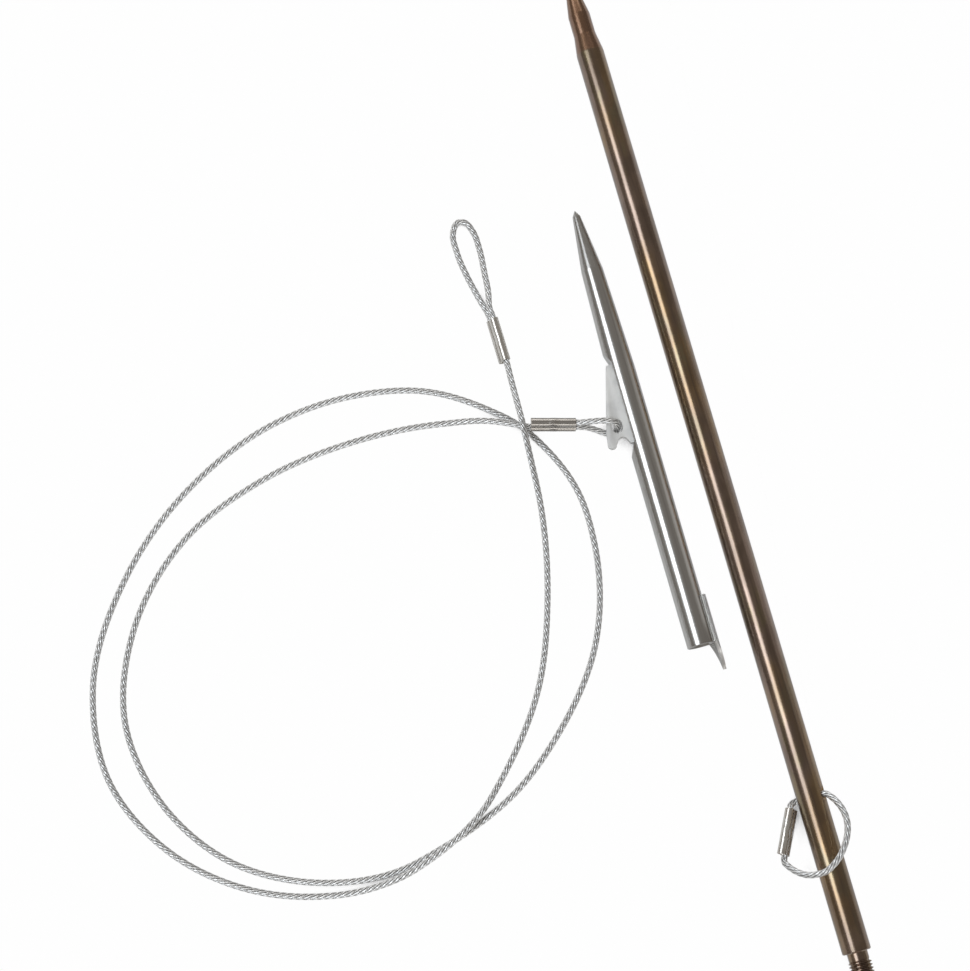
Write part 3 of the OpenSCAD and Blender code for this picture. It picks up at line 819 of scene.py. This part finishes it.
def heat_tinted_steel():
    """Brown heat tint with purple and olive clouds in streaks, redder at the nose, under clear oxide."""
    f = Finish(bpy.data.materials.new("heat tinted steel"))
    cloud = f.noise(f.place((1, 0.28, 1)), 240, 4, 0.6)
    shade = f.noise(f.place((1, 0.45, 1), move=(0.1, 0.2, 0)), 200, 2, 0.5)
    streak = f.noise(f.place((1, 0.03, 1)), 1300, 3, 0.6)
    patch = f.noise(f.place((1, 0.3, 1), move=(0.3, 0.1, 0)), 90, 3, 0.55)
    brown, purple, olive = (0.33, 0.2, 0.078), (0.295, 0.2, 0.145), (0.28, 0.21, 0.105)
    dark, red = (0.13, 0.075, 0.04), (0.27, 0.125, 0.06)
    colour = f.mix(patch.between(0.42, 0.6), brown, purple)
    colour = f.mix(cloud.between(0.5, 0.66), colour, olive)
    colour = f.mix(shade.between(0.42, 0.6) * 0.42, colour, dark)
    colour = f.mix(streak.between(0.45, 0.68) * 0.6, colour, dark)
    nose = f.part(f.place(), 1).between(cone_start - 0.2 * mm, cone_start + 0.5 * mm)
    colour = f.mix(nose * 0.75, colour, red)
    f.set(Base_Color=colour, Metallic=1.0, Roughness=0.22 + 0.08 * streak, Normal=f.grain(0.1),
          Coat_Weight=1.0, Coat_IOR=1.8, Coat_Roughness=0.2)
    return f.owner


def bright_steel():
    """Polished lengthwise; the barb's spike, which stands out behind the mouth, is rougher."""
    f = Finish(bpy.data.materials.new("bright machined steel"))
    streak = f.noise(f.place((1, 0.02, 1)), 1400, 3, 0.6)
    cloud = f.noise(f.place((1, 0.25, 1)), 160, 3, 0.5)
    colour = f.mix(streak.between(0.35, 0.75), (0.66, 0.65, 0.63), (0.54, 0.53, 0.51))
    colour = f.mix(cloud.between(0.5, 0.75) * 0.4, colour, (0.54, 0.52, 0.49))
    spike = f.part(f.place(), 1).between(tip_mouth, tip_mouth - 0.5 * mm)
    f.set(Base_Color=colour, Metallic=1.0, Roughness=0.19 + 0.08 * streak + 0.2 * spike,
          Normal=f.grain(0.05))
    return f.owner


def matt_plate_steel():
    """A light, finely specked matt surface."""
    f = Finish(bpy.data.materials.new("matt plate steel"))
    speck = f.noise(f.place(), 1800, 3, 0.6)
    cloud = f.noise(f.place(), 260, 2, 0.5)
    colour = f.mix(cloud.between(0.35, 0.7), (0.8, 0.8, 0.78), (0.7, 0.7, 0.69))
    f.set(Base_Color=colour, Metallic=0.35, Roughness=0.5 + 0.1 * speck, Normal=f.bump(speck, 0.12))
    return f.owner


def rope_steel():
    """Wires show as ridges round each strand, and painted shade darkens each strand's sides towards the
    grooves between strands.
    """
    f = Finish(bpy.data.materials.new("stranded rope steel"))
    wires_round, wire_lay = 6, 4.5 * mm
    uv = f.node("ShaderNodeUVMap", {"uv_map": "strand"})
    around, along = f.part(uv, 0), f.part(uv, 1)
    wires = ((around * wires_round + along * (1 / wire_lay)) * math.tau).math("SINE")
    outward = (around * math.tau).math("COSINE")
    tone = f.noise(f.place(), 700, 2, 0.5)
    colour = f.mix(tone.between(0.3, 0.7), (0.86, 0.86, 0.85), (0.74, 0.74, 0.73))
    # painted shade: the half of each strand that faces its neighbours is darkened towards a near-black grey
    colour = f.mix(outward.between(0.7, 0.0), colour, (0.24, 0.24, 0.24))
    f.set(Base_Color=colour, Metallic=0.8, Roughness=0.42, Normal=f.bump(wires * 0.5 + 0.5, 0.2, 0.04 * mm))
    return f.owner


def tinted_sleeve_steel():
    """Bright metal with brown tints; the short loop's sleeve is darkened with painted shade, standing for
    the dark surroundings it mirrors.
    """
    f = Finish(bpy.data.materials.new("tinted sleeve metal"))
    cloud = f.noise(f.place(), 420, 3, 0.6)
    patch = f.noise(f.place(move=(0.02, 0.05, 0.01)), 190, 2, 0.5)
    colour = f.mix(cloud.between(0.4, 0.7), (0.82, 0.8, 0.75), (0.7, 0.67, 0.62))
    colour = f.mix(patch.between(0.5, 0.7) * 0.4, colour, (0.6, 0.52, 0.46))
    # of the three sleeves, only the short loop's lies both this far left and this far back
    left = f.part(f.place(), 0).between(-20 * mm, -30 * mm)
    back = f.part(f.place(), 1).between(178 * mm, 170 * mm)
    # painted shade: the short loop's sleeve is darkened where it lies, in place of the dark room it reflects
    painted_shade = left * back
    colour = f.mix(painted_shade * 0.75, colour, (0.38, 0.355, 0.325))
    f.set(Base_Color=colour, Metallic=0.88, Roughness=0.24 + 0.06 * cloud)
    return f.owner


finishes = {
    "shaft_steel": heat_tinted_steel(),
    "tip_steel": bright_steel(),
    "plate_steel": matt_plate_steel(),
    "wire_rope": rope_steel(),
    "sleeve_steel": tinted_sleeve_steel(),
}
for piece, body, finish_slot, stands_for in places:
    piece.data.materials.clear()
    piece.data.materials.append(finishes[finish_slot])


# Floor and light


def make_floor():
    """White where the camera looks at it, but for painted shadow in tight crevices, and a plain grey table
    to the light and in reflections.
    """
    floor_radius, floor_gap = 6, 0.02 * mm
    brightness, crevice = 0.992, 7 * mm
    bm = bmesh.new()
    bmesh.ops.create_circle(bm, cap_ends=True, segments=64, radius=floor_radius)
    bmesh.ops.translate(bm, verts=bm.verts, vec=(0, 0, floor_height - floor_gap))
    floor = finished("pale_floor", bm)
    f = Finish(bpy.data.materials.new("pale floor"))
    f.set(Base_Color=(0.8, 0.8, 0.8), Roughness=0.9)
    # painted shadow: the camera's white glow dims where the floor is hemmed in, under the plate's hole and
    # in tight gaps
    open_sky = f.node("ShaderNodeAmbientOcclusion", {"samples": 8}, {"Distance": crevice}, 1)
    glow_with_painted_shadow = open_sky.between(0.15, 0.33) * brightness
    f.show(f.node("ShaderNodeEmission", {}, {"Color": (1, 1, 1), "Strength": glow_with_painted_shadow}))
    floor.data.materials.append(f.owner)


def soft_light(name, place, aim, size, power, colour=(1, 1, 1), along=(0, 1, 0)):
    """A soft box that faces its aim, with its second size along the given direction."""
    data = bpy.data.lights.new(name, "AREA")
    data.shape = "RECTANGLE"
    data.size, data.size_y = size
    data.energy = power
    data.color = colour
    light = bpy.data.objects.new(name, data)
    bpy.context.scene.collection.objects.link(light)
    back = (Vector(place) - Vector(aim)).normalized()
    up = Vector(along)
    up = (up - back * up.dot(back)).normalized()
    turn = Matrix((up.cross(back), up, back)).transposed().to_4x4()
    light.matrix_world = Matrix.Translation(place) @ turn


def light_room():
    """A dim warm room, pale to the camera, with a strip light from the left and three soft boxes."""
    world = Finish(bpy.data.worlds.new("soft studio"), "Background", "World Output")
    world.set(Color=(0.2, 0.185, 0.168), Strength=1.0)
    world.show(world.node("ShaderNodeBackground", {}, {"Color": (0.95, 0.95, 0.95)}))
    bpy.context.scene.world = world.owner
    centre_x = -0.06
    middle = (centre_x, 0.15, 0)
    lean = math.radians(31.5)
    strip_far, strip_y = 1.2, 0.26
    strip_place = (centre_x - strip_far * math.sin(lean), strip_y, strip_far * math.cos(lean))
    upright = (0, 0, 1)
    soft_light("strip_light", strip_place, (centre_x, strip_y, 0), (0.56, 1.2), 6.8, colour=(0.94, 1, 1.07))
    soft_light("front_box", (centre_x, 1.85, 1.0), middle, (2.4, 0.8), 12.5, along=upright)
    soft_light("rear_box", (centre_x, -1.75, 0.72), middle, (2.4, 0.7), 11, along=upright)
    soft_light("right_box", (1.6, 0.36, 0.5), (0, 0.12, 0), (0.5, 1.0), 0.4, along=upright)


make_floor()
light_room()
bpy.context.scene.view_settings.view_transform = "Standard"
